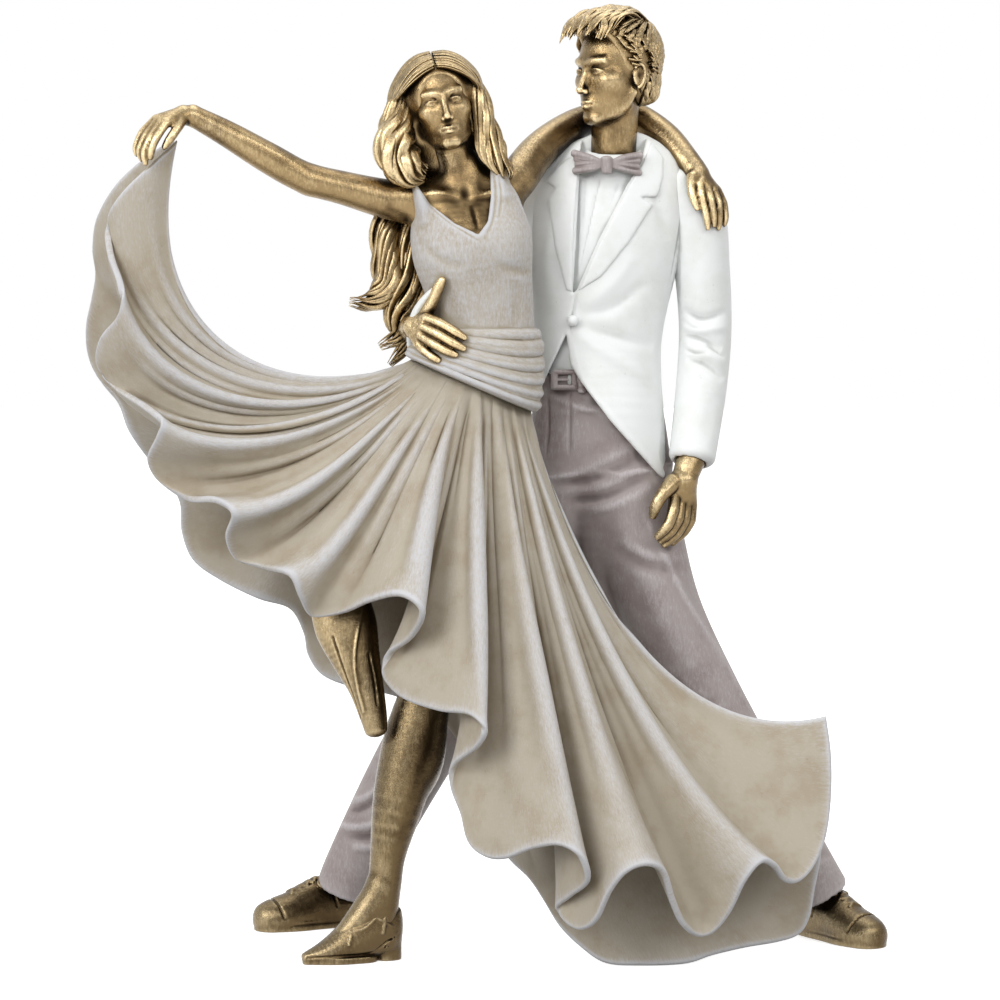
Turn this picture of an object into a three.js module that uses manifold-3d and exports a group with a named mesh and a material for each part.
// Wedding couple figurine in cast and painted resin.
// A groom in a white dinner jacket stands behind a dancing bride. Her right hand lifts the skirt out
// to the side, her left arm lies round his neck, and his right hand holds her waist.
// Millimetres, +Z up, the couple faces -Y. The origin is on the floor, under the middle of the figure.
// Right and left are the figure's own: the bride's right arm is the one at -X.
import * as THREE from "three";
import { mergeVertices } from "three/addons/utils/BufferGeometryUtils.js";
import Module from "manifold-3d";

const wasm = await Module();
wasm.setup();

// Driving dimensions
const CLEARANCE = 0.3; // gap left between two castings that meet
const CLOTH_THICKNESS = 2.6; // skirt sheets
const JACKET_WALL = 3; // jacket over the shirt
const BODICE_WALL = 2.2; // bodice over the chest
const LAPEL_RISE = 1.3; // how far a lapel stands proud of the jacket
const BELT_RISE = 0.9; // how far the belt stands proud of the trousers
const BELT_HEIGHT = 6.4;
const BUCKLE_WIDTH = 7;
const BUCKLE_HEIGHT = 5.4;
const BUCKLE_RISE = 1.6;
const BUTTON_RADIUS = 1.6;
const BUTTON_RISE = 1.1;
const GROOM_HEAD_HEIGHT = 32; // chin to crown, under the hair
const BRIDE_HEAD_HEIGHT = 28;
const HAIR_DEPTH = 2.6; // hair over the skull
const GROOM_NECK_RADIUS = 7;
const BRIDE_NECK_RADIUS = 5.3;
const COLLAR_HEIGHT = 6.5;
const COLLAR_WALL = 1.5;
const BOW_HALF_WIDTH = 10.2;
const BOW_HALF_HEIGHT = 4.4;
const BOW_DEPTH = 4.4;
const FOLD_DEPTH = 2.4; // skirt folds, ridge above the mean sheet
const SASH_RISE = 1.2; // sash over the waist
const GROOM_HAND_LENGTH = 24; // wrist to fingertip
const BRIDE_HAND_LENGTH = 20.5;
const GROOM_FINGER_RADIUS = 1.6;
const BRIDE_FINGER_RADIUS = 1.3;
const MAN_SHOE_LENGTH = 36;
const MAN_SHOE_WIDTH = 14;
const PUMP_LENGTH = 28.5;
const PUMP_WIDTH = 10.5;
const SOLE_THICKNESS = 2;

const SIDES = 12; // facets round a limb
const CAP_ANGLE = 0.26 * Math.PI; // where the one ring of a rounded end sits

const v = (x, y, z) => new THREE.Vector3(x, y, z);
const X_AXIS = v(1, 0, 0);
const Y_AXIS = v(0, 1, 0);
const Z_AXIS = v(0, 0, 1);

const FINISH = {
  gold: { color: 0xa98a55, roughness: 0.35, metalness: 0.9 },
  dress: { color: 0xb9ad9a, roughness: 0.6, metalness: 0.05 },
  ivory: { color: 0xe9ebe8, roughness: 0.55, metalness: 0 },
  mauve: { color: 0x8a7f7f, roughness: 0.6, metalness: 0.05 },
};

// Solids from rings and sheets

// A solid from corner points and triangles, with its faces turned outwards.
function solidFrom(points, triangles) {
  const position = new Float32Array(points.flatMap((p) => [p.x, p.y, p.z]));
  const loose = new THREE.BufferGeometry();
  loose.setAttribute("position", new THREE.BufferAttribute(position, 3));
  loose.setIndex(triangles.flat());
  const merged = mergeVertices(loose, 1e-4);
  const index = merged.index.array;
  const at = (i) => new THREE.Vector3().fromBufferAttribute(merged.attributes.position, i);
  let volume = 0;
  for (let i = 0; i < index.length; i += 3) {
    volume += at(index[i]).dot(at(index[i + 1]).cross(at(index[i + 2])));
  }
  const faces = [];
  for (let i = 0; i < index.length; i += 3) {
    const [a, b, c] = [index[i], index[i + 1], index[i + 2]];
    if (a === b || b === c || c === a) continue;
    faces.push(...(volume < 0 ? [a, c, b] : [a, b, c]));
  }
  const vertProperties = merged.attributes.position.array;
  return new wasm.Manifold(
    new wasm.Mesh({ numProp: 3, vertProperties, triVerts: new Uint32Array(faces) }),
  );
}

// A closed solid skinned over rings of the same number of points.
function skin(rings) {
  const sides = rings[0].length;
  const points = rings.flat();
  const triangles = [];
  for (let r = 0; r + 1 < rings.length; r++) {
    for (let s = 0; s < sides; s++) {
      const a = r * sides + s;
      const b = r * sides + ((s + 1) % sides);
      triangles.push([a, b, b + sides], [a, b + sides, a + sides]);
    }
  }
  for (const end of [0, rings.length - 1]) {
    const middle = rings[end].reduce((sum, p) => sum.add(p), v(0, 0, 0)).divideScalar(sides);
    const hub = points.push(middle) - 1;
    for (let s = 0; s < sides; s++) {
      const a = end * sides + s;
      const b = end * sides + ((s + 1) % sides);
      triangles.push(end === 0 ? [b, a, hub] : [a, b, hub]);
    }
  }
  return solidFrom(points, triangles);
}

// A solid of any three.js geometry.
function solidOf(geometry) {
  const g = geometry.index ? geometry.toNonIndexed() : geometry;
  const points = [];
  const triangles = [];
  for (let i = 0; i < g.attributes.position.count; i++) {
    points.push(v(0, 0, 0).fromBufferAttribute(g.attributes.position, i));
    if (i % 3 === 2) triangles.push([i - 2, i - 1, i]);
  }
  return solidFrom(points, triangles);
}

// The shapes are laid out round the couple's waist; this point of the floor becomes the origin.
const ORIGIN = v(0.4, -4.55, 0);

const smooth = (points) => new THREE.CatmullRomCurve3(points, false, "catmullrom", 0.5);

// Section rings along a smooth line. A station is [x, y, z, half width, half depth]; half width is
// measured along the direction across. Both ends are rounded by the dome length.
function limbRings(stations, { across = X_AXIS, steps, dome = 1.5, sides = SIDES }, grow) {
  const line = smooth(stations.map(([x, y, z]) => v(x, y, z)));
  const sizes = smooth(stations.map(([, , , wide, deep]) => v(wide, deep, 0)));
  const count = steps ?? (stations.length - 1) * 2;
  const ring = (t, slide, shrink) => {
    const tangent = line.getTangent(t);
    const wide = across.clone().addScaledVector(tangent, -across.dot(tangent)).normalize();
    const deep = new THREE.Vector3().crossVectors(tangent, wide);
    const size = sizes.getPoint(t);
    const middle = line.getPoint(t).addScaledVector(tangent, slide);
    return Array.from({ length: sides }, (_, s) => {
      const angle = (2 * Math.PI * s) / sides;
      return middle
        .clone()
        .addScaledVector(wide, (size.x + grow) * shrink * Math.cos(angle))
        .addScaledVector(deep, (size.y + grow) * shrink * Math.sin(angle));
    });
  };
  const reach = dome + grow;
  const slide = reach * Math.sin(CAP_ANGLE);
  const middle = Array.from({ length: count + 1 }, (_, i) => ring(i / count, 0, 1));
  return [ring(0, -slide, Math.cos(CAP_ANGLE)), ...middle, ring(1, slide, Math.cos(CAP_ANGLE))];
}

const limb = (stations, options = {}, grow = 0) => skin(limbRings(stations, options, grow));

// A thin solid on both sides of the surface at(u, w), both from 0 to 1, thickness(w) through.
function sheet(at, across, along, thickness) {
  const step = 1e-3;
  const corner = (u, w, side) => {
    const du = at(Math.min(u + step, 1), w).sub(at(Math.max(u - step, 0), w));
    const dw = at(u, Math.min(w + step, 1)).sub(at(u, Math.max(w - step, 0)));
    return at(u, w).addScaledVector(du.cross(dw).normalize(), (side * thickness(w)) / 2);
  };
  const points = [];
  const triangles = [];
  const index = (i, j, side) => (side * (across + 1) + i) * (along + 1) + j;
  for (const side of [-1, 1]) {
    for (let i = 0; i <= across; i++) {
      for (let j = 0; j <= along; j++) points.push(corner(i / across, j / along, side));
    }
  }
  const quad = (a, b, c, d) => triangles.push([a, b, c], [a, c, d]);
  for (let i = 0; i < across; i++) {
    for (let j = 0; j < along; j++) {
      quad(index(i, j, 0), index(i + 1, j, 0), index(i + 1, j + 1, 0), index(i, j + 1, 0));
      quad(index(i, j, 1), index(i, j + 1, 1), index(i + 1, j + 1, 1), index(i + 1, j, 1));
    }
    quad(index(i, 0, 0), index(i, 0, 1), index(i + 1, 0, 1), index(i + 1, 0, 0));
    quad(index(i, along, 0), index(i + 1, along, 0), index(i + 1, along, 1), index(i, along, 1));
  }
  for (let j = 0; j < along; j++) {
    quad(index(0, j, 0), index(0, j + 1, 0), index(0, j + 1, 1), index(0, j, 1));
    quad(index(across, j, 0), index(across, j, 1), index(across, j + 1, 1), index(across, j + 1, 0));
  }
  return solidFrom(points, triangles);
}

// A flat outline in the X-Z plane, carried along Y from front to back.
function prism(outline, front, back) {
  const shape = new THREE.Shape(outline.map(([x, z]) => new THREE.Vector2(x, z)));
  const geometry = new THREE.ExtrudeGeometry(shape, { depth: back - front, bevelEnabled: false });
  geometry.rotateX(Math.PI / 2);
  geometry.translate(0, back, 0);
  return solidOf(geometry);
}

const union = (solids) => solids.reduce((all, s) => all.add(s));
const aboveFloor = (solid) => solid.trimByPlane([0, 0, 1], 0);

// The largest of a solid's separate bodies: crumbs left by a cut are dropped.
function largest(solid) {
  return solid.decompose().reduce((a, b) => (b.volume() > a.volume() ? b : a));
}

// Straight-line interpolation between keys [position, value, value...].
function between(keys, position) {
  let k = 0;
  while (k + 2 < keys.length && keys[k + 1][0] <= position) k++;
  const [from, to] = [keys[k], keys[k + 1]];
  const t = THREE.MathUtils.clamp((position - from[0]) / (to[0] - from[0]), 0, 1);
  const eased = t * t * (3 - 2 * t);
  return from.slice(1).map((value, i) => value + (to[i + 1] - value) * eased);
}

// Heads and hands

// A head: chin to crown is height, the face looks along front, tilted by up.
// Proportions are the usual ones of a drawn head: eyes at half height, nose base midway to the chin.
const HEAD_HALF_WIDTH = 0.36; // of the head's height
const HEAD_HALF_DEPTH = 0.43;
const HEAD_HALF_HEIGHT = 0.5;
const JAW_TAPER = 0.42;
function head({ centre, front, up, height }, grow) {
  const zAxis = up.clone().normalize();
  const yAxis = front.clone().addScaledVector(zAxis, -front.dot(zAxis)).normalize();
  const xAxis = new THREE.Vector3().crossVectors(yAxis, zAxis);
  const geometry = new THREE.SphereGeometry(1, 16, 13);
  const bump = (p, x, z, spread, rise) =>
    p.y > 0 ? rise * Math.exp(-((p.x - x) ** 2 + (p.z - z) ** 2) / (2 * spread ** 2)) : 0;
  const position = geometry.attributes.position;
  for (let i = 0; i < position.count; i++) {
    const raw = v(0, 0, 0).fromBufferAttribute(position, i);
    const p = v(raw.x, raw.z, raw.y);
    const low = Math.max(0, -p.z);
    const face =
      bump(p, 0, -0.22, 0.09, 0.2) + // nose
      bump(p, 0, 0.28, 0.3, 0.05) + // brow
      bump(p, 0, -0.52, 0.14, 0.06) + // lips
      bump(p, 0, -0.86, 0.16, 0.16) - // chin
      bump(p, 0.3, 0.02, 0.13, 0.08) - // eye hollows
      bump(p, -0.3, 0.02, 0.13, 0.08);
    const narrow = 1 - JAW_TAPER * low ** 1.6;
    const nape = p.y < 0 ? 1 - 0.45 * low : 1;
    const out = v(0, 0, 0)
      .addScaledVector(xAxis, p.x * HEAD_HALF_WIDTH * height * narrow)
      .addScaledVector(yAxis, (p.y * nape + face) * HEAD_HALF_DEPTH * height)
      .addScaledVector(zAxis, p.z * HEAD_HALF_HEIGHT * height);
    out.addScaledVector(out.clone().normalize(), grow);
    position.setXYZ(i, ...out.add(centre).toArray());
  }
  return solidOf(geometry);
}

// A hand: palm, four fingers and a thumb, fused. The fingers point along toward, the back of the
// hand faces back, and curl is the bend of each finger joint in degrees.
const FINGER_SHARE = [0.4, 0.46, 0.44, 0.36]; // of the hand's length, index to little finger
const PALM_SHARE = 0.52;
function hand({ wrist, toward, back, length, radius, curl, spread, thumbSide, thumbTurn }, grow) {
  const along = toward.clone().normalize();
  const up = back.clone().addScaledVector(along, -back.dot(along)).normalize();
  const side = new THREE.Vector3().crossVectors(along, up).multiplyScalar(thumbSide);
  const place = (a, s, u) =>
    wrist.clone().addScaledVector(along, a).addScaledVector(side, s).addScaledVector(up, u);
  const palm = length * PALM_SHARE;
  const pitch = radius * 1.75;
  const flat = [
    [...place(-length * 0.12, 0, 0), radius * 2.1, radius * 1.7],
    [...place(palm * 0.4, 0, 0.1 * radius), radius * 3.1, radius * 1.5],
    [...place(palm * 0.95, 0, 0), radius * 3.5, radius * 1.25],
  ];
  const parts = [limb(flat, { across: side, steps: 2, sides: 8 }, grow)];
  const joints = (root, direction, bendAxis, reach, bend) => {
    const stations = [[...root, radius, radius]];
    const heading = direction.clone();
    const point = root.clone();
    [0.45, 0.3, 0.25].forEach((share, joint) => {
      heading.applyAxisAngle(bendAxis, THREE.MathUtils.degToRad(joint === 0 ? bend * 0.6 : bend));
      point.addScaledVector(heading, reach * share);
      const slim = radius * (1 - 0.1 * (joint + 1));
      stations.push([...point, slim, slim]);
    });
    return stations;
  };
  const curlAxis = side.clone().multiplyScalar(-thumbSide);
  FINGER_SHARE.forEach((share, i) => {
    const fan = (1.5 - i) * spread;
    const direction = along
      .clone()
      .applyAxisAngle(up, THREE.MathUtils.degToRad(-fan * thumbSide));
    const root = place(palm * 0.88, (1.5 - i) * pitch, 0);
    const stations = joints(root, direction, curlAxis, share * length + palm * 0.1, curl[i]);
    parts.push(limb(stations, { across: side, steps: 3, sides: 5, dome: radius * 0.6 }, grow));
  });
  const thumbRoot = place(palm * 0.3, 1.9 * pitch * 0.9, -0.3 * radius);
  const thumbWay = along
    .clone()
    .applyAxisAngle(up, THREE.MathUtils.degToRad(-thumbTurn * thumbSide));
  const thumb = joints(thumbRoot, thumbWay, curlAxis, length * 0.38, 8);
  parts.push(limb(thumb, { across: side, steps: 3, sides: 5, dome: radius * 0.6 }, grow));
  return union(parts);
}

// A shoe along the floor from heel to toe. Stations are [share of length, half width, top height].
function shoe({ heel, heading, length, width, profile, toeRise = 0 }, grow) {
  const way = v(Math.cos(heading), Math.sin(heading), 0);
  const across = v(-way.y, way.x, 0);
  const stations = profile.map(([share, wide, top]) => {
    const at = heel.clone().addScaledVector(way, share * length);
    const lift = toeRise * Math.max(0, share - 0.75) * 4;
    return [at.x, at.y, top * 0.36 + lift, (wide * width) / 2, top * 0.64];
  });
  return aboveFloor(limb(stations, { across, dome: 1.6, steps: 7 }, grow));
}

// The groom

const GROOM_TORSO = [
  [38, 16.5, 240.5, 11, 8.5],
  [38.4, 17, 236, 20, 11],
  [38, 17, 229, 24, 12.6],
  [36.8, 16.5, 220, 24, 13.6],
  [35.6, 16, 209, 22.6, 13.8],
  [34.4, 15.5, 196, 20.6, 13.4],
  [33.6, 15, 184, 19.4, 13],
  [33.6, 15, 172, 19.4, 14.4],
  [34, 14.8, 158, 20, 16.6],
  [34.6, 14.6, 142, 20.4, 17.6],
];
const torsoShrunk = (by) => GROOM_TORSO.map(([x, y, z, w, d]) => [x, y, z, w - by, d - by]);
const GROOM_NECK = [
  [38, 17, 232, GROOM_NECK_RADIUS + 1, GROOM_NECK_RADIUS],
  [38.4, 15.5, 243, GROOM_NECK_RADIUS, GROOM_NECK_RADIUS],
  [39, 13.5, 256, GROOM_NECK_RADIUS, GROOM_NECK_RADIUS],
];
const GROOM_HEAD = {
  centre: v(38.4, 11.5, 265),
  front: v(-0.8, -0.6, -0.1),
  up: v(-0.04, -0.05, 1),
  height: GROOM_HEAD_HEIGHT,
};
const COLLAR_LINE = [
  [38.1, 15.6, 235.5],
  [38.3, 15, 235.5 + COLLAR_HEIGHT],
];
const BUTTON_AT = v(25.8, 3.2, 189.8);
const BOW_AT = v(36, 5, 236.3);
const BELT_Z = 172;
const LEFT_LEG = [
  [41, 16, 163, 14.2, 10.6],
  [43, 16, 146, 14.4, 11.4],
  [46, 16, 125, 13.6, 12],
  [53.4, 16, 101, 12.3, 12.2],
  [66.4, 16.5, 75, 11.4, 11.4],
  [80.8, 17.5, 50, 10.6, 10.4],
  [95.2, 19.5, 25, 9.9, 9.6],
  [102, 20.5, 13.5, 9.6, 9.4],
];
const RIGHT_LEG = [
  [31, 17, 163, 14, 11],
  [25, 19, 146, 15, 12],
  [12.4, 22.5, 120, 14.4, 13],
  [-1.2, 26, 92, 13.4, 12.8],
  [-15.4, 31, 67, 12.2, 12],
  [-28.6, 36, 43, 11.2, 11],
  [-40, 40.5, 20.5, 10.2, 10],
  [-43.8, 42, 12, 9.8, 10],
];
const SEAT = [
  [35, 15.5, 177, 17.4, 10.4],
  [35, 15.5, 168, 17.8, 10.8],
  [35.6, 16, 156, 19.4, 11.2],
  [36, 17, 146, 18.4, 11.2],
];
const LEFT_SLEEVE = [
  [57.5, 16.5, 231, 7.5, 8.6],
  [63.6, 16.5, 222, 8.6, 9],
  [65.4, 17, 205, 8.4, 8.6],
  [66.4, 17.5, 187, 8, 8],
  [65, 14, 169, 7.7, 7.6],
  [62, 7, 149, 7.1, 7.2],
];
const RIGHT_SLEEVE = [
  [21, 18.5, 231, 7.4, 7.6],
  [13, 19.5, 218, 7.4, 7],
  [2, 17.5, 203, 7, 6.4],
  [-10, 13.6, 192, 6.4, 6],
  [-19.5, 8, 187.6, 6, 5.6],
  [-22.2, 1.2, 187, 5.6, 5.6],
];
const GROOM_LEFT_HAND = {
  wrist: v(61, 4, 145.5),
  toward: v(-0.3, -0.32, -1),
  back: v(0.75, -0.75, 0),
  length: GROOM_HAND_LENGTH,
  radius: GROOM_FINGER_RADIUS,
  curl: [22, 26, 28, 30],
  spread: 1,
  thumbSide: 1,
  thumbTurn: 24,
};
const GROOM_RIGHT_HAND = {
  wrist: v(-22.4, -4.5, 187),
  toward: v(0.72, -0.62, -0.34),
  back: v(-0.7, -0.72, 0.1),
  length: GROOM_HAND_LENGTH * 0.92,
  radius: GROOM_FINGER_RADIUS * 0.95,
  curl: [17, 18, 19, 20],
  spread: 3,
  thumbSide: -1,
  thumbTurn: 62,
};
const MAN_SHOE_PROFILE = [
  [0.06, 0.74, 11.5],
  [0.22, 0.8, 14.5],
  [0.48, 0.86, 15],
  [0.67, 1, 11.8],
  [0.85, 0.96, 9.2],
  [0.97, 0.62, 7],
];
const LEFT_SHOE = {
  heel: v(98, 31.6, 0),
  heading: THREE.MathUtils.degToRad(-55),
  length: MAN_SHOE_LENGTH,
  width: MAN_SHOE_WIDTH,
  profile: MAN_SHOE_PROFILE,
};
const RIGHT_SHOE = {
  heel: v(-39, 48.6, 0),
  heading: THREE.MathUtils.degToRad(-156),
  length: MAN_SHOE_LENGTH,
  width: MAN_SHOE_WIDTH,
  profile: MAN_SHOE_PROFILE,
};

// Front opening of the jacket: a V down to the button, then two fronts cut away below it.
const NECK_OPENING = [
  [25.9, 198],
  [26.2, 204],
  [27, 218],
  [27.8, 232],
  [28.2, 241],
  [30, 247],
  [49, 247],
  [46.3, 237],
  [42.3, 230.8],
  [33.6, 214],
  [27, 199],
];
const CUTAWAY = [
  [23.9, 185.5],
  [19.4, 176],
  [13.4, 162.6],
  [6, 150],
  [0, 136],
  [60, 136],
  [53, 142],
  [47.9, 147.6],
  [37.2, 159.6],
  [28.2, 171.5],
  [25.2, 176.5],
];
const TAIL_VENT = [
  [34.6, 168],
  [33.6, 138],
  [35.6, 138],
];
const LEFT_LAPEL = [
  [27.3, 198.5],
  [33.9, 213.6],
  [42.6, 230.4],
  [46.6, 236.6],
  [49.4, 243],
  [53, 239],
  [53.4, 233],
  [52.6, 229.6],
  [47.4, 228.4],
  [49, 224],
  [43, 213.6],
  [34.4, 203],
];
const RIGHT_LAPEL = [
  [25.6, 198.4],
  [26.2, 218],
  [27.4, 232],
  [27.6, 240],
  [21.4, 236.4],
  [17.9, 231.6],
  [20.6, 229.6],
  [18.2, 226.4],
  [20.4, 212],
  [23.8, 199],
];

function torso(shrink, grow) {
  return limb(torsoShrunk(shrink), { steps: 9, dome: 1, sides: 14 }, grow);
}

function groomHead(grow) {
  return union([
    head(GROOM_HEAD, grow),
    limb(GROOM_NECK, { dome: 1, steps: 4 }, grow),
    ...ears(GROOM_HEAD, grow),
  ]);
}

// Two small ovals at the sides of the head, at the height of the nose.
function ears({ centre, front, up, height }, grow) {
  const side = new THREE.Vector3().crossVectors(front, up).normalize();
  return [-1, 1].map((sign) => {
    const at = centre.clone().addScaledVector(side, sign * height * 0.345);
    at.addScaledVector(up, -height * 0.08);
    const top = at.clone().addScaledVector(up, height * 0.1);
    const bottom = at.clone().addScaledVector(up, -height * 0.09);
    const stations = [
      [...top, height * 0.035, height * 0.08],
      [...at, height * 0.04, height * 0.075],
      [...bottom, height * 0.03, height * 0.045],
    ];
    return limb(stations, { across: side, steps: 3, sides: 8, dome: 1 }, grow);
  });
}

// Short hair: a cap over the skull, with a swept fringe of tapering locks on top.
const GROOM_LOCKS = 6;
function groomHair(grow) {
  const { centre, front, up, height } = GROOM_HEAD;
  const zAxis = up.clone().normalize();
  const yAxis = front.clone().addScaledVector(zAxis, -front.dot(zAxis)).normalize();
  const xAxis = new THREE.Vector3().crossVectors(yAxis, zAxis);
  const place = (x, y, z) =>
    centre
      .clone()
      .addScaledVector(xAxis, x * height)
      .addScaledVector(yAxis, y * height)
      .addScaledVector(zAxis, z * height);
  const cap = limb(
    [
      [...place(0, -0.13, -0.2), 0.3 * height, 0.26 * height],
      [...place(0, -0.12, 0.02), 0.36 * height + HAIR_DEPTH, 0.36 * height],
      [...place(0, -0.03, 0.24), 0.34 * height + HAIR_DEPTH, 0.43 * height],
      [...place(0, 0.02, 0.4), 0.25 * height + HAIR_DEPTH, 0.34 * height],
    ],
    { across: xAxis, steps: 5, dome: 0.172 * height, sides: 12 },
    grow,
  );
  const locks = Array.from({ length: GROOM_LOCKS }, (_, i) => {
    const share = i / (GROOM_LOCKS - 1);
    const x = -0.3 + 0.6 * share;
    const arch = 0.08 * Math.cos(Math.PI * (share - 0.5));
    const stations = [
      [...place(x * 0.9, -0.22, 0.41 + arch), 0.075 * height, 0.056 * height],
      [...place(x * 0.95, 0.08, 0.5 + arch), 0.09 * height, 0.075 * height],
      [...place(x, 0.3, 0.42 + arch * 0.6), 0.078 * height, 0.062 * height],
      [...place(x * 0.9, 0.43, 0.32 + arch * 0.3), 0.036 * height, 0.03 * height],
    ];
    return limb(stations, { across: xAxis, steps: 3, sides: 5, dome: 0.03 * height }, grow);
  });
  return union([cap, ...locks]);
}

function shirt(grow) {
  const body = limb(torsoShrunk(JACKET_WALL).slice(0, 8), { steps: 6, dome: 1, sides: 12 }, grow);
  const collar = limb(
    COLLAR_LINE.map((p, i) => {
      const radius = GROOM_NECK_RADIUS + COLLAR_WALL + (1 - i) * 0.8;
      return [...p, radius, radius];
    }),
    { dome: 0.4, steps: 1, sides: 16 },
    grow,
  );
  return union([body, collar]);
}

function bowTie(grow) {
  const { x, y, z } = BOW_AT;
  const wing = (sign) =>
    limb(
      [
        [x + sign * 1.2, y, z, BOW_HALF_HEIGHT * 0.42, BOW_DEPTH * 0.3],
        [x + sign * BOW_HALF_WIDTH * 0.45, y + 0.3, z, BOW_HALF_HEIGHT * 0.8, BOW_DEPTH * 0.42],
        [x + sign * BOW_HALF_WIDTH, y + 1.8, z + 0.4, BOW_HALF_HEIGHT, BOW_DEPTH * 0.3],
      ],
      { across: Z_AXIS, steps: 3, dome: 0.6, sides: 8 },
      grow,
    );
  const knot = limb(
    [
      [x, y - 0.8, z - BOW_HALF_HEIGHT * 0.55, BOW_HALF_WIDTH * 0.22, BOW_DEPTH * 0.5],
      [x, y - 0.8, z + BOW_HALF_HEIGHT * 0.55, BOW_HALF_WIDTH * 0.22, BOW_DEPTH * 0.5],
    ],
    { dome: 0.9, steps: 1, sides: 8 },
    grow,
  );
  return union([wing(-1), wing(1), knot]);
}

function trousers(grow) {
  return union([
    limb(SEAT, { steps: 4, dome: 0.6, sides: 14 }, grow),
    limb(LEFT_LEG, { steps: 8, dome: 0.8 }, grow),
    limb(RIGHT_LEG, { steps: 8, dome: 0.8 }, grow),
  ]);
}

const BELT_BAND = SEAT.slice(0, 3);
function belt(grow) {
  const band = limb(
    BELT_BAND.map(([x, y, z, w, d]) => [x, y, z, w + BELT_RISE, d + BELT_RISE]),
    { steps: 2, dome: 0.6, sides: 14 },
    grow,
  );
  const half = BELT_HEIGHT / 2 + grow;
  return band
    .trimByPlane([0, 0, 1], BELT_Z - half)
    .trimByPlane([0, 0, -1], -(BELT_Z + half));
}

const BUCKLE_X = 23.4;
const BUCKLE_FRAME = 1.2;
const BELT_FRONT = 7.4; // the trousers' surface behind the buckle
function buckle(grow) {
  const outline = (w, h) => [
    [BUCKLE_X - w, BELT_Z - h],
    [BUCKLE_X + w, BELT_Z - h],
    [BUCKLE_X + w, BELT_Z + h],
    [BUCKLE_X - w, BELT_Z + h],
  ];
  const width = BUCKLE_WIDTH / 2;
  const height = BUCKLE_HEIGHT / 2;
  const face = BELT_FRONT - BELT_RISE - BUCKLE_RISE;
  const plate = prism(outline(width + grow, height + grow), face - grow, 12);
  const window = prism(
    outline(width - BUCKLE_FRAME - grow, height - BUCKLE_FRAME - grow),
    face - 2,
    face + 0.9 - grow,
  );
  return plate.subtract(window);
}

function jacket(grow) {
  const opening = prism(NECK_OPENING, -12, 13);
  const cutaway = prism(CUTAWAY, -12, 14.5);
  const vent = prism(TAIL_VENT, 22, 45);
  return torso(0, grow).subtract(opening).subtract(cutaway).subtract(vent);
}

function lapel(outline, grow) {
  const plate = prism(outline, -12, 12);
  const proud = torso(-LAPEL_RISE, grow);
  return grow > 0 ? proud.intersect(plate) : proud.intersect(plate).subtract(torso(0, CLEARANCE));
}

function jacketButton(grow) {
  const geometry = new THREE.CylinderGeometry(BUTTON_RADIUS + grow, BUTTON_RADIUS + grow, 8, 18);
  geometry.translate(BUTTON_AT.x, BUTTON_AT.y + 4 - BUTTON_RISE - grow, BUTTON_AT.z);
  return solidOf(geometry);
}

// The bride

const BRIDE_TORSO = [
  [-5.5, -6, 229, 11, 6.4],
  [-5.4, -6.4, 225, 16, 8],
  [-5, -7, 219, 17.6, 9.6],
  [-4.2, -7.8, 211, 18, 11.2],
  [-2.6, -7.2, 202, 16.4, 10.2],
  [-0.8, -6.4, 192, 14.8, 9.6],
  [0, -6, 184, 14.4, 9.6],
];
const bodyShrunk = (by) => BRIDE_TORSO.map(([x, y, z, w, d]) => [x, y, z, w - by, d - by]);
const BRIDE_NECK = [
  [-6, -6, 221, BRIDE_NECK_RADIUS + 2, BRIDE_NECK_RADIUS],
  [-7.2, -6, 230, BRIDE_NECK_RADIUS, BRIDE_NECK_RADIUS],
  [-10, -7, 240, BRIDE_NECK_RADIUS, BRIDE_NECK_RADIUS],
  [-12, -7.5, 248, BRIDE_NECK_RADIUS, BRIDE_NECK_RADIUS],
];
const BRIDE_HEAD = {
  centre: v(-13.2, -8.5, 254),
  front: v(0.1, -1, -0.12),
  up: v(-0.2, 0.02, 1),
  height: BRIDE_HEAD_HEIGHT,
};
const NECKLINE = [
  [-23.5, 233],
  [-2, 215.4],
  [0.4, 238],
  [-5, 248],
  [-23.5, 248],
];
const BRIDE_RIGHT_ARM = [
  [-14, -6, 224, 6, 6.6],
  [-22, -6.4, 224.6, 5.8, 6.4],
  [-31, -8, 226.2, 5.4, 5.8],
  [-42, -10.5, 229, 4.9, 5],
  [-53.5, -13.5, 232, 4.5, 4.7],
  [-64, -16.4, 237.6, 4.4, 4.6],
  [-76, -19.5, 244.6, 3.8, 3.9],
  [-86.6, -22, 250.2, 2.9, 3.1],
];
const BRIDE_LEFT_ARM = [
  [2, -4.5, 224.5, 6, 6],
  [8.6, -1, 231.4, 5.8, 6],
  [14.4, 7, 239.4, 5.5, 5.6],
  [20.4, 14, 245, 5.2, 5.2],
  [28, 22, 249.8, 4.9, 4.8],
  [36.4, 27.2, 252.2, 4.6, 4.6],
  [45, 28, 252, 4.5, 4.6],
  [54, 22.5, 245.8, 4.4, 4.6],
  [60.2, 16, 238.6, 3.8, 4],
  [64, 12, 233.6, 3.1, 3.4],
];
const BRIDE_RIGHT_HAND = {
  wrist: v(-87.6, -22.3, 250.1),
  toward: v(-0.88, -0.14, -0.5),
  back: v(-0.42, -0.5, 0.76),
  length: BRIDE_HAND_LENGTH,
  radius: BRIDE_FINGER_RADIUS,
  curl: [26, 24, 22, 20],
  spread: 3,
  thumbSide: -1,
  thumbTurn: 30,
};
const BRIDE_LEFT_HAND = {
  wrist: v(64.6, 11.2, 232.6),
  toward: v(0.3, -0.34, -0.88),
  back: v(0.55, -0.6, 0.6),
  length: BRIDE_HAND_LENGTH,
  radius: BRIDE_FINGER_RADIUS,
  curl: [12, 13, 12, 10],
  spread: 3,
  thumbSide: 1,
  thumbTurn: 26,
};
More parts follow.
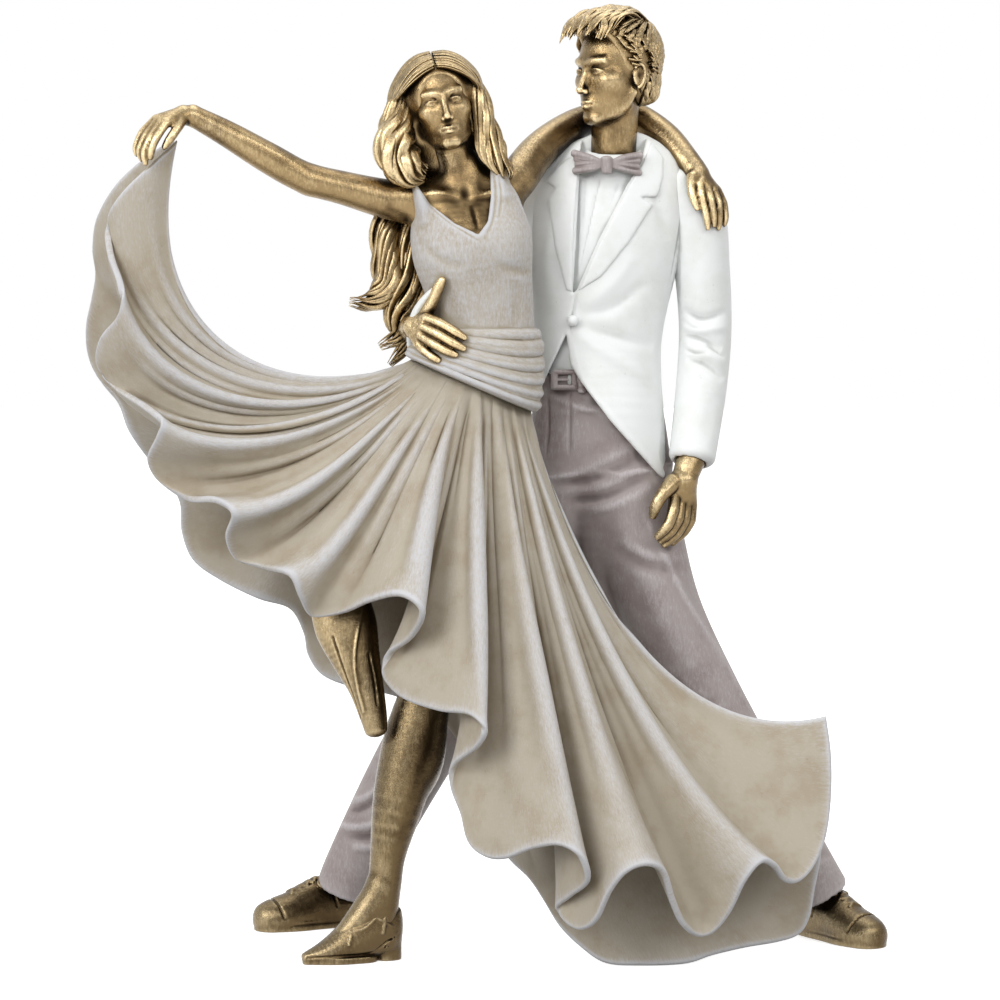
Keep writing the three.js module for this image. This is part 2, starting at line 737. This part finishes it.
const STANDING_LEG = [
  [-3, -5.5, 166, 9, 9],
  [-7, -8, 140, 10, 9.6],
  [-12.5, -11, 108, 9, 9],
  [-17, -13.5, 84, 7.6, 8],
  [-21.5, -14.2, 66, 9, 9],
  [-26, -16, 48, 7.8, 8.2],
  [-29.3, -17.4, 31, 5.8, 6.2],
  [-30.6, -17.8, 20, 6.2, 6.4],
  [-31, -18, 14, 6.4, 6.6],
];
const RAISED_LEG = [
  [-10, -5, 166, 9, 8],
  [-32, -4, 154, 8.6, 7],
  [-53, -5, 143, 7.6, 6.4],
  [-57, -8, 134, 7, 6.6],
  [-52.5, -12, 122, 7.2, 6.8],
  [-45.8, -15.5, 108, 5.8, 5.6],
  [-42.8, -17, 100, 5.4, 5.4],
];
const RAISED_SHOE = [
  [-43.8, -16.4, 105, 6.6, 5.8],
  [-41, -18, 96, 7.2, 5.6],
  [-36.8, -20.4, 85, 5.8, 4.8],
  [-32.8, -22.4, 74.5, 3.8, 3.6],
  [-30.6, -23.2, 69.4, 2.2, 2.2],
];
const PUMP_PROFILE = [
  [0.04, 0.66, 21],
  [0.18, 0.8, 20],
  [0.36, 0.92, 16.4],
  [0.55, 1, 10.6],
  [0.78, 0.76, 5.2],
  [0.97, 0.24, 2.4],
];
const PUMP = {
  heel: v(-28.2, -15, 0),
  heading: THREE.MathUtils.degToRad(-160),
  length: PUMP_LENGTH,
  width: PUMP_WIDTH,
  profile: PUMP_PROFILE,
};

function brideHead(grow) {
  return union([head(BRIDE_HEAD, grow), limb(BRIDE_NECK, { dome: 1, steps: 6 }, grow)]);
}

// Collarbones, shoulders and chest, down to where the bodice covers them.
function brideChest(grow) {
  return limb(bodyShrunk(BODICE_WALL).slice(0, 5), { steps: 5, dome: 1.5, sides: 12 }, grow);
}

function bodice(grow) {
  const bust = [-1, 1].map((sign) =>
    limb(
      [
        [-4.4 + sign * 7.4, -9, 215.5, 6.4, 6],
        [-4.2 + sign * 7.4, -9.6, 208.5, 6.6, 6.6],
      ],
      { dome: 4.5, steps: 2, sides: 8 },
      grow,
    ),
  );
  const body = limb(BRIDE_TORSO, { steps: 7, dome: 0.6, sides: 12 }, grow);
  return union([body, ...bust]).subtract(prism(NECKLINE, -40, 6));
}

// The sash slants: its upper edge is level, its lower edge falls towards the bride's left hip.
const SASH_RINGS = [
  [v(0, -6, 187.2), v(14.6, 0, 0), 9.8],
  [v(-1.8, -6, 181), v(17.2, 0, -4), 10.6],
  [v(-4.6, -6, 175.6), v(19.6, 0, -6.6), 11.4],
  [v(-6.2, -6, 171), v(20, 0, -8), 11.8],
];
function sash(grow) {
  const rings = SASH_RINGS.map(([middle, reach, depth]) =>
    Array.from({ length: 14 }, (_, s) => {
      const angle = (2 * Math.PI * s) / 14;
      const wide = reach.clone().setLength(reach.length() + SASH_RISE * 0.5 + grow);
      return middle
        .clone()
        .addScaledVector(wide, Math.cos(angle))
        .addScaledVector(Y_AXIS, (depth + SASH_RISE + grow) * Math.sin(angle));
    }),
  );
  const shifted = (ring, by) => ring.map((p) => p.clone().addScaledVector(Z_AXIS, by));
  return skin([shifted(rings[0], 0.8 + grow), ...rings, shifted(rings[3], -0.8 - grow)]);
}

// The skirt. Each sheet is ruled by bowed lines that leave the sash and end on the hem. Hem points
// are read in order from the lifted corner at the hand, along the edge, to the trailing corner.
const FRONT_HEM = [
  [-90.5, -23, 242.5], [-98, -26, 235.3], [-106.5, -25, 227], [-110.8, -22, 219.5],
  [-110, -25, 210.5], [-106.3, -30, 200.3], [-107, -29, 192], [-113, -23, 185],
  [-114.4, -19, 177.5], [-109, -21, 171], [-99.5, -28, 165], [-94.8, -33, 161],
  [-96, -31, 156.5], [-99.4, -24, 149.5], [-96, -22, 142.5], [-88, -27, 138],
  [-79.5, -34, 138], [-74, -37, 134], [-76.2, -30, 127], [-73.6, -25, 120],
  [-65.5, -29, 117.6], [-57.5, -36, 116], [-54.5, -34, 109.5], [-51.2, -29, 103.6],
  [-42, -32, 104.6], [-33.6, -39, 108.6], [-24.6, -46, 110.8], [-18.4, -48, 106],
  [-21.8, -40, 98], [-28, -34, 93], [-30.6, -31, 88], [-28.6, -31, 83.4],
  [-23.4, -35, 79.6], [-13.4, -43, 77.2], [-4.8, -50, 76.8], [-0.4, -53, 72.4],
  [-2.6, -49, 67.2], [-9.2, -41, 61], [-10.4, -38, 54.6], [-7.4, -38, 46.4],
  [-5, -40, 38.4], [0.2, -44, 34.8], [6, -49, 35.2], [13, -54, 38.6],
  [21, -59, 40.4], [27.2, -61, 36.8], [29.2, -57, 29.6], [24.4, -49, 24],
  [20.8, -44, 19.8], [23, -44, 15.8], [27.4, -47, 14.2], [31.8, -52, 17.6],
  [35.6, -57, 26.6], [40, -60, 32.6], [45.8, -60, 34.8], [51, -56, 31.8],
  [54, -51, 22.6], [57, -47, 15.6], [61.4, -43, 11.6], [66.4, -42, 12.8],
  [71, -45, 19.4], [75, -49, 28.8], [79.6, -49, 34], [84, -44, 32],
  [87.4, -38, 27.2], [91.4, -34, 26.2], [96, -30, 30], [99.8, -26, 38],
  [101.6, -23, 49], [101.8, -21, 61.5], [100.5, -18, 73],
];
// Where each ridge of the hem sits, as a place in the list above.
const FRONT_RIDGES = [0, 5, 11, 17, 21.5, 26.5, 35, 45, 54, 62, 70];
// Keys: place on the hem, share along the sash, then the two control points of the bowed line.
const FRONT_LINES = [
  [0, 0, -46, -9, 163, -107, -20, 173],
  [5, 0.04, -48, -13, 157, -101, -27, 160],
  [8, 0.07, -48, -14, 152, -96, -24, 150],
  [11, 0.1, -48, -16, 150, -80, -30, 148],
  [13.5, 0.14, -44, -18, 148, -76, -28, 140],
  [17, 0.2, -40, -22, 147, -58, -34, 134],
  [19.5, 0.25, -36, -24, 146, -52, -30, 126],
  [22, 0.32, -30, -25, 142, -44, -34, 118],
  [24, 0.38, -24, -26, 142, -36, -34, 116],
  [27, 0.46, -17, -28, 142, -18, -40, 118],
  [31, 0.52, -12, -28, 138, -16, -36, 104],
  [35, 0.58, -5, -29, 136, -2, -42, 98],
  [39, 0.64, -1, -28, 130, 0, -38, 78],
  [42, 0.69, 1, -28, 130, 8, -42, 74],
  [45, 0.75, 5, -27, 130, 18, -46, 72],
  [49, 0.8, 8, -26, 130, 24, -42, 66],
  [54, 0.85, 12, -24, 130, 32, -44, 66],
  [58, 0.89, 14, -22, 130, 38, -38, 64],
  [62, 0.93, 15, -20, 130, 44, -36, 62],
  [66, 0.97, 15, -16, 130, 48, -28, 60],
  [70, 1, 15, -11, 132, 50, -17, 60],
];
const BACK_HEM = [
  [-92, -17, 243], [-100, -13, 238.4], [-109.3, -9, 230.5], [-115.5, -5, 221],
  [-117, -3, 213], [-116.6, 0, 205], [-118.2, 2, 197], [-120.2, 4, 188.5],
  [-120, 6, 180], [-117, 6, 172.6], [-111, 4, 165.5], [-107.6, 2, 157],
  [-102.5, 4, 149.2], [-97, 8, 142.4], [-92.8, 8, 135], [-92.4, 10, 126],
  [-89, 10, 117.4], [-80.6, 8, 111.4], [-69, 5, 106], [-59.6, 7, 102.8],
  [-55.6, 9, 95.4], [-54.2, 9, 88.6], [-49.8, 8, 82.6], [-41, 6, 79.2],
  [-27, 7, 76], [-14, 9, 69], [-5, 5, 57], [1, -4, 43],
  [6, -13, 31], [12.6, -18, 24.6], [17, -21, 18.4], [21.6, -24, 11.4],
  [28, -26, 5.4], [35, -27, 1], [45, -27, 0.2], [58.6, -25, 0.4],
  [67, -21, 2.2], [77, -17, 3.8], [87, -13, 4.8], [93.4, -11, 6.8],
  [96.6, -10.5, 12], [98, -10.5, 20], [99.8, -11, 30.5], [100.8, -11.6, 45],
  [100.8, -12.4, 60], [100, -13, 71.6],
];
const BACK_RIDGES = [0, 4.5, 8, 12, 16, 20.5, 25, 29.5, 33, 38, 45];
const BACK_LINES = [
  [0, 0, -46, -1, 163, -107, -12, 173],
  [8, 0.08, -48, 4, 156, -98, 2, 160],
  [12, 0.16, -46, 7, 150, -80, 6, 146],
  [17, 0.26, -38, 8, 146, -60, 8, 128],
  [22, 0.36, -28, 9, 142, -40, 9, 108],
  [26, 0.48, -14, 8, 138, -14, 9, 96],
  [30, 0.6, -4, 6, 134, 2, 0, 74],
  [34, 0.74, 6, 3, 130, 20, -8, 62],
  [38, 0.86, 12, 0, 130, 36, -8, 60],
  [42, 0.95, 15, -2, 131, 46, -8, 58],
  [45, 1, 15, -3, 132, 50, -9, 60],
];
const SASH_LEFT = v(-25.4, -4, 178.6);
const SASH_RIGHT = v(13, -4, 163.2);
const SASH_FRONT_BULGE = 11.6;
const SASH_BACK_BULGE = 7;

// Signed share of a fold at a place on the hem: 1 on a ridge, -1 midway between two.
function foldWave(ridges, place) {
  let k = 0;
  while (k + 2 < ridges.length && ridges[k + 1] <= place) k++;
  const share = (place - ridges[k]) / (ridges[k + 1] - ridges[k]);
  return Math.cos(2 * Math.PI * share);
}

function skirtSurface(hemPoints, lines, ridges, bulge) {
  const hem = smooth(hemPoints.map((p) => v(...p)));
  const last = hemPoints.length - 1;
  const base = (u, w) => {
    const [share, ...controls] = between(lines, u * last);
    const start = SASH_LEFT.clone().lerp(SASH_RIGHT, share);
    start.y += bulge * Math.sin(Math.PI * share) ** 0.8;
    const bowed = new THREE.CubicBezierCurve3(
      start,
      v(...controls.slice(0, 3)),
      v(...controls.slice(3, 6)),
      hem.getPoint(u),
    );
    return bowed.getPoint(w);
  };
  const step = 2e-3;
  return (u, w) => {
    const du = base(Math.min(u + step, 1), w).sub(base(Math.max(u - step, 0), w));
    const dw = base(u, Math.min(w + step, 1)).sub(base(u, Math.max(w - step, 0)));
    const normal = du.cross(dw).normalize();
    if (Math.sign(normal.y) === Math.sign(-bulge)) normal.negate();
    const wave = foldWave(ridges, u * last);
    const fold = FOLD_DEPTH * Math.sin(Math.PI * Math.min(1, w * 1.06)) ** 0.9 * wave;
    const edge = Math.min(1, 12 * Math.min(u, 1 - u));
    return base(u, w).addScaledVector(normal, fold * edge);
  };
}

const frontSurface = skirtSurface(FRONT_HEM, FRONT_LINES, FRONT_RIDGES, -SASH_FRONT_BULGE);
const backSurface = skirtSurface(BACK_HEM, BACK_LINES, BACK_RIDGES, SASH_BACK_BULGE);

// The sheets are thinner where they gather under the sash.
const clothThickness = (grow) => (w) =>
  CLOTH_THICKNESS * (0.6 + 0.4 * Math.min(1, 3 * w)) + 2 * grow;
const skirtFront = (grow) => aboveFloor(sheet(frontSurface, 76, 7, clothThickness(grow)));
const skirtBack = (grow) => aboveFloor(sheet(backSurface, 44, 6, clothThickness(grow)));

// Long hair: a parted cap, a lock in front of each shoulder and four waves down the back.
function brideHairCap(grow) {
  const { centre, front, up, height } = BRIDE_HEAD;
  const zAxis = up.clone().normalize();
  const yAxis = front.clone().addScaledVector(zAxis, -front.dot(zAxis)).normalize();
  const xAxis = new THREE.Vector3().crossVectors(yAxis, zAxis);
  const place = (x, y, z) =>
    centre
      .clone()
      .addScaledVector(xAxis, x * height)
      .addScaledVector(yAxis, y * height)
      .addScaledVector(zAxis, z * height);
  const skull = limb(
    [
      [...place(0, -0.2, -0.5), 0.3 * height, 0.24 * height],
      [...place(0, -0.18, -0.25), 0.38 * height + HAIR_DEPTH, 0.34 * height],
      [...place(0.05, -0.14, 0.02), 0.41 * height + HAIR_DEPTH, 0.4 * height],
      [...place(0.06, -0.06, 0.24), 0.37 * height + HAIR_DEPTH, 0.44 * height],
      [...place(0.05, -0.02, 0.38), 0.27 * height + HAIR_DEPTH, 0.34 * height],
    ],
    { across: xAxis, steps: 5, dome: 0.18 * height, sides: 12 },
    grow,
  );
  const curtains = [-1, 1].map((sign) =>
    limb(
      [
        [...place(sign * 0.04, 0.34, 0.44), 0.086 * height, 0.079 * height],
        [...place(sign * 0.25, 0.34, 0.3), 0.1 * height, 0.093 * height],
        [...place(sign * 0.4, 0.22, 0.02), 0.107 * height, 0.114 * height],
        [...place(sign * 0.44, 0.06, -0.28), 0.114 * height, 0.129 * height],
        [...place(sign * 0.44, 0, -0.5), 0.1 * height, 0.114 * height],
      ],
      { across: xAxis, steps: 4, sides: 6, dome: 0.054 * height },
      grow,
    ),
  );
  return union([skull, ...curtains]);
}

const HAIR_LOCKS = {
  bride_hair_lock_right_shoulder: [
    [-23, -10, 247, 4.6, 4.6],
    [-26, -13, 240, 6.2, 5],
    [-25, -14, 233.6, 6.4, 5],
    [-20.5, -14, 229, 5, 4.2],
    [-16, -14, 227.6, 2.4, 2.4],
  ],
  bride_hair_lock_left_shoulder: [
    [-2.6, -8, 252, 3.4, 3.6],
    [0.4, -8, 245, 4, 3.8],
    [2.6, -9, 239, 3.8, 3.4],
    [5.4, -9.6, 234, 2.8, 2.8],
    [6.6, -9.6, 231.6, 1.4, 1.6],
  ],
  bride_hair_wave_outer: [
    [-25, 2, 228, 4.6, 4],
    [-30.6, 1, 218, 4.4, 4.2],
    [-30.2, 1, 208, 4.4, 4.4],
    [-29.6, 0, 200, 4.2, 4.2],
    [-34.4, -1, 195.2, 3.4, 3.4],
    [-41, -2, 195.4, 1.6, 1.6],
  ],
  bride_hair_wave_middle: [
    [-21, 3, 228, 5, 4],
    [-23.6, 2.4, 214, 5, 4.4],
    [-23.4, 1.6, 202, 4.8, 4.4],
    [-26.4, 1, 192, 4.2, 4],
    [-26.4, 0, 185.6, 3.4, 3.4],
    [-32, -0.6, 182, 1.6, 1.6],
  ],
  bride_hair_wave_inner: [
    [-15, 3.4, 229, 5.6, 4],
    [-17.4, 3.2, 214, 5, 4.2],
    [-18, 3, 200, 4.4, 4],
    [-21, 2.4, 190, 4, 3.6],
    [-24.4, 1.6, 182, 3.2, 3.2],
    [-29, 1, 176.5, 1.8, 1.8],
  ],
  bride_hair_wave_nape: [
    [-12, 3.6, 243, 8, 4.6],
    [-10, 5.6, 230, 8, 4.2],
    [-10, 6.2, 214, 7, 3.6],
    [-13, 6, 203, 5, 3],
    [-16, 5.4, 195, 2.6, 2.2],
  ],
};

// Assembly. Each piece is cut clear of the pieces made before it.

const figurine = new THREE.Group();
const cutters = [];
function add(name, finish, make) {
  let solid = make(0);
  for (const cutter of cutters) {
    if (overlaps(solid, cutter)) solid = solid.subtract(cutter);
  }
  solid = largest(solid);
  cutters.push(make(CLEARANCE).add(solid));
  const faces = solid.getMesh();
  const geometry = new THREE.BufferGeometry();
  const positions = new Float32Array(faces.numVert * 3);
  for (let i = 0; i < faces.numVert; i++) {
    positions.set(faces.vertProperties.subarray(i * faces.numProp, i * faces.numProp + 3), i * 3);
  }
  geometry.setAttribute("position", new THREE.BufferAttribute(positions, 3));
  geometry.setIndex(new THREE.BufferAttribute(faces.triVerts, 1));
  geometry.translate(-ORIGIN.x, -ORIGIN.y, -ORIGIN.z);
  const mesh = new THREE.Mesh(geometry, new THREE.MeshStandardMaterial(FINISH[finish]));
  mesh.name = name;
  figurine.add(mesh);
}

function overlaps(a, b) {
  const [p, q] = [a.boundingBox(), b.boundingBox()];
  return [0, 1, 2].every((i) => p.min[i] < q.max[i] && q.min[i] < p.max[i]);
}

add("groom_head", "gold", groomHead);
add("groom_hair", "gold", groomHair);
add("groom_shirt", "ivory", shirt);
add("bow_tie", "mauve", bowTie);
add("groom_left_shoe", "gold", (grow) => shoe(LEFT_SHOE, grow));
add("groom_right_shoe", "gold", (grow) => shoe(RIGHT_SHOE, grow));
add("groom_trousers", "mauve", trousers);
add("groom_belt", "mauve", belt);
add("belt_buckle", "mauve", buckle);
add("groom_jacket", "ivory", jacket);
add("jacket_left_lapel", "ivory", (grow) => lapel(LEFT_LAPEL, grow));
add("jacket_right_lapel", "ivory", (grow) => lapel(RIGHT_LAPEL, grow));
add("jacket_button", "ivory", jacketButton);
add("groom_left_hand", "gold", (grow) => hand(GROOM_LEFT_HAND, grow));
add("jacket_left_sleeve", "ivory", (grow) => limb(LEFT_SLEEVE, { dome: 0.8, steps: 9 }, grow));
add("bride_chest", "gold", brideChest);
add("bride_head", "gold", brideHead);
add("bride_right_hand", "gold", (grow) => hand(BRIDE_RIGHT_HAND, grow));
add("bride_left_hand", "gold", (grow) => hand(BRIDE_LEFT_HAND, grow));
const armShape = { across: Y_AXIS, dome: 0.6, steps: 8, sides: 9 };
add("bride_right_arm", "gold", (grow) => limb(BRIDE_RIGHT_ARM, armShape, grow));
add("bride_left_arm", "gold", (grow) => limb(BRIDE_LEFT_ARM, armShape, grow));
add("groom_right_hand", "gold", (grow) => hand(GROOM_RIGHT_HAND, grow));
add("bride_bodice", "dress", bodice);
add("bride_sash", "dress", sash);
const sleeveShape = { across: Z_AXIS, dome: 0.8, steps: 9 };
add("jacket_right_sleeve", "ivory", (grow) => limb(RIGHT_SLEEVE, sleeveShape, grow));
add("bride_standing_shoe", "gold", (grow) => shoe(PUMP, grow));
add("bride_standing_leg", "gold", (grow) => limb(STANDING_LEG, { dome: 1, steps: 9, sides: 9 }, grow));
add("bride_raised_shoe", "gold", (grow) => limb(RAISED_SHOE, { dome: 1.6, steps: 7 }, grow));
add("bride_raised_leg", "gold", (grow) => limb(RAISED_LEG, { across: Y_AXIS, dome: 1, sides: 9, steps: 8 }, grow));
add("skirt_front", "dress", skirtFront);
add("skirt_back", "dress", skirtBack);
add("bride_hair_crown", "gold", brideHairCap);
for (const [name, stations] of Object.entries(HAIR_LOCKS)) {
  add(name, "gold", (grow) => limb(stations, { dome: 1.4, steps: 6, sides: 7 }, grow));
}

export default figurine;
